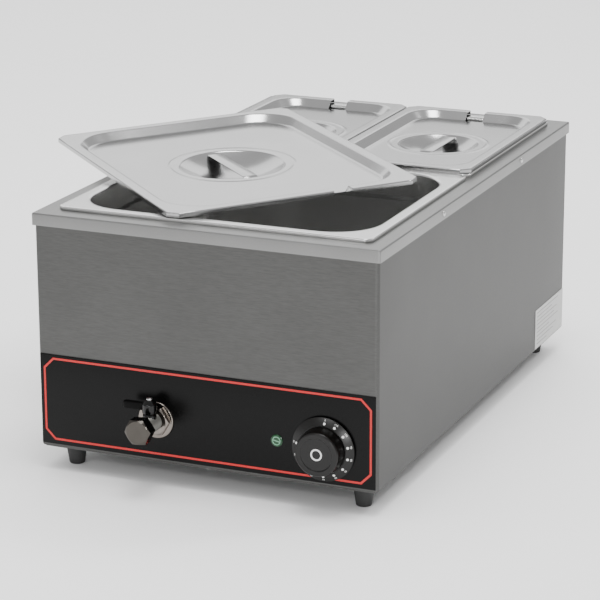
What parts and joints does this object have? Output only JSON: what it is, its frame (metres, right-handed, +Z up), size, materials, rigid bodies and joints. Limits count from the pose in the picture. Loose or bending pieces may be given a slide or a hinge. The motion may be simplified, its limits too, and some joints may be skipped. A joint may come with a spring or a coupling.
{
  "type": "steam table unit",
  "caption": "Countertop wet-heat steam table: brushed steel casing with a front drain tap and thermostat, and a well holding notched, lidded food pans.",
  "frame": {"origin": "on the worktop that the feet stand on, under the middle of the casing", "axes": "+X to the right seen from the front, +Y from the control panel to the back, +Z up"},
  "size_m": [0.4524, 0.624, 0.2813],
  "materials": {
    "casing_steel": "brushed",
    "deck_steel": "brushed",
    "tank_steel": "satin",
    "pan_steel": "satin",
    "lid_steel": "satin",
    "bar_steel": "satin",
    "tap_chrome": "polished",
    "screw_zinc": "zinc plated",
    "element_tube": "matt",
    "brass_fittings": "machined",
    "copper_tube": "drawn copper",
    "panel_gloss": "printed, glossy",
    "knob_plastic": "moulded",
    "lever_plastic": "dipped, glossy",
    "foot_rubber": "moulded",
    "seal_rubber": "matt",
    "seat_plastic": "turned",
    "control_plastic": "moulded",
    "gland_plastic": "moulded",
    "ceramic": "glazed",
    "lamp_green": "translucent",
    "plate_print": "printed foil",
    "lead_plastic": "insulated"
  },
  "bodies": {
    "chassis": {"casing": "casing_steel", "rear_panel": "casing_steel", "deck": "deck_steel", "base_plate": "casing_steel", "tank": "tank_steel", "bar_brackets": "tank_steel", "control_panel": "panel_gloss", "feet": "foot_rubber", "foot_screws": "screw_zinc", "foot_nuts": "screw_zinc", "deck_screws": "screw_zinc", "base_screws": "screw_zinc", "rear_screws": "screw_zinc", "rating_plate": "plate_print", "heating_element": "element_tube", "element_sleeves": "brass_fittings", "element_nuts": "brass_fittings", "element_seals": "seal_rubber", "element_terminals": "ceramic", "element_rests": "tank_steel", "drain_spigot": "tap_chrome", "drain_seal": "seal_rubber", "drain_nut": "tap_chrome", "drain_elbow": "copper_tube", "thermostat_case": "control_plastic", "thermostat_screws": "screw_zinc", "thermostat_bulb": "copper_tube", "bulb_clip": "tank_steel", "cutout_switch": "control_plastic", "cutout_bracket": "tank_steel", "lamp_holder": "control_plastic", "lamp_lens": "lamp_green", "terminal_block": "control_plastic", "earth_stud": "brass_fittings", "cable_gland": "gland_plastic", "gland_nut": "gland_plastic", "wiring": "lead_plastic", "tap_barrel": "tap_chrome", "tap_washer": "tap_chrome", "tap_front_nut": "tap_chrome", "tap_inner_nut": "tap_chrome", "tap_seats": "seat_plastic"},
    "tap_handle": {"tap_ball": "tap_chrome", "tap_lever": "lever_plastic", "lever_screw": "screw_zinc"},
    "end_cap": {"tap_cap": "tap_chrome", "cap_seal": "seal_rubber"},
    "thermostat_knob": {"knob": "knob_plastic", "knob_cap": "knob_plastic", "thermostat_shaft": "screw_zinc"},
    "divider": {"cross_bar": "bar_steel"},
    "front_pan": {"front_pan": "pan_steel"},
    "rear_left_pan": {"rear_left_pan": "pan_steel"},
    "rear_right_pan": {"rear_right_pan": "pan_steel"},
    "front_lid": {"front_lid": "lid_steel", "front_strap": "lid_steel"},
    "rear_left_lid": {"rear_left_lid": "lid_steel", "rear_left_strap": "lid_steel"},
    "rear_right_lid": {"rear_right_lid": "lid_steel", "rear_right_strap": "lid_steel"}
  },
  "joints": [
    {"name": "front_lid_lift", "type": "slide", "parent": "chassis", "child": "front_lid", "axis": [0, 0, 1], "range_m": [0, 0.4]},
    {"name": "front_pan_lift", "type": "slide", "parent": "chassis", "child": "front_pan", "axis": [0, 0, 1], "range_m": [0, 0.18]},
    {"name": "rear_left_pan_lift", "type": "slide", "parent": "chassis", "child": "rear_left_pan", "axis": [0, 0, 1], "range_m": [0, 0.18]},
    {"name": "rear_right_pan_lift", "type": "slide", "parent": "chassis", "child": "rear_right_pan", "axis": [0, 0, 1], "range_m": [0, 0.18]},
    {"name": "rear_left_lid_lift", "type": "slide", "parent": "rear_left_pan", "child": "rear_left_lid", "axis": [0, 0, 1], "range_m": [0, 0.08]},
    {"name": "rear_right_lid_lift", "type": "slide", "parent": "rear_right_pan", "child": "rear_right_lid", "axis": [0, 0, 1], "range_m": [0, 0.08]},
    {"name": "divider_lift", "type": "slide", "parent": "chassis", "child": "divider", "axis": [0, 0, 1], "range_m": [0, 0.08]},
    {"name": "knob_turn", "type": "hinge", "parent": "chassis", "child": "thermostat_knob", "pos_m": [0.1238, -0.287, 0.062], "axis": [0, 1, 0], "range_deg": [0, 270]},
    {"name": "tap_turn", "type": "hinge", "parent": "chassis", "child": "tap_handle", "pos_m": [-0.0505, -0.298, 0.067], "axis": [0, 0, 1], "range_deg": [0, 90]},
    {"name": "end_cap_pull", "type": "slide", "parent": "chassis", "child": "end_cap", "axis": [0, -1, 0], "range_m": [0, 0.03]}
  ],
  "couplings": [
    {"joint": "front_pan_lift", "follows": "front_lid_lift", "ratio": 0.45},
    {"joint": "rear_left_pan_lift", "follows": "front_lid_lift", "ratio": 0.45},
    {"joint": "rear_right_pan_lift", "follows": "front_lid_lift", "ratio": 0.45},
    {"joint": "rear_left_lid_lift", "follows": "front_lid_lift", "ratio": 0.2},
    {"joint": "rear_right_lid_lift", "follows": "front_lid_lift", "ratio": 0.2},
    {"joint": "divider_lift", "follows": "front_lid_lift", "ratio": 0.2}
  ]
}
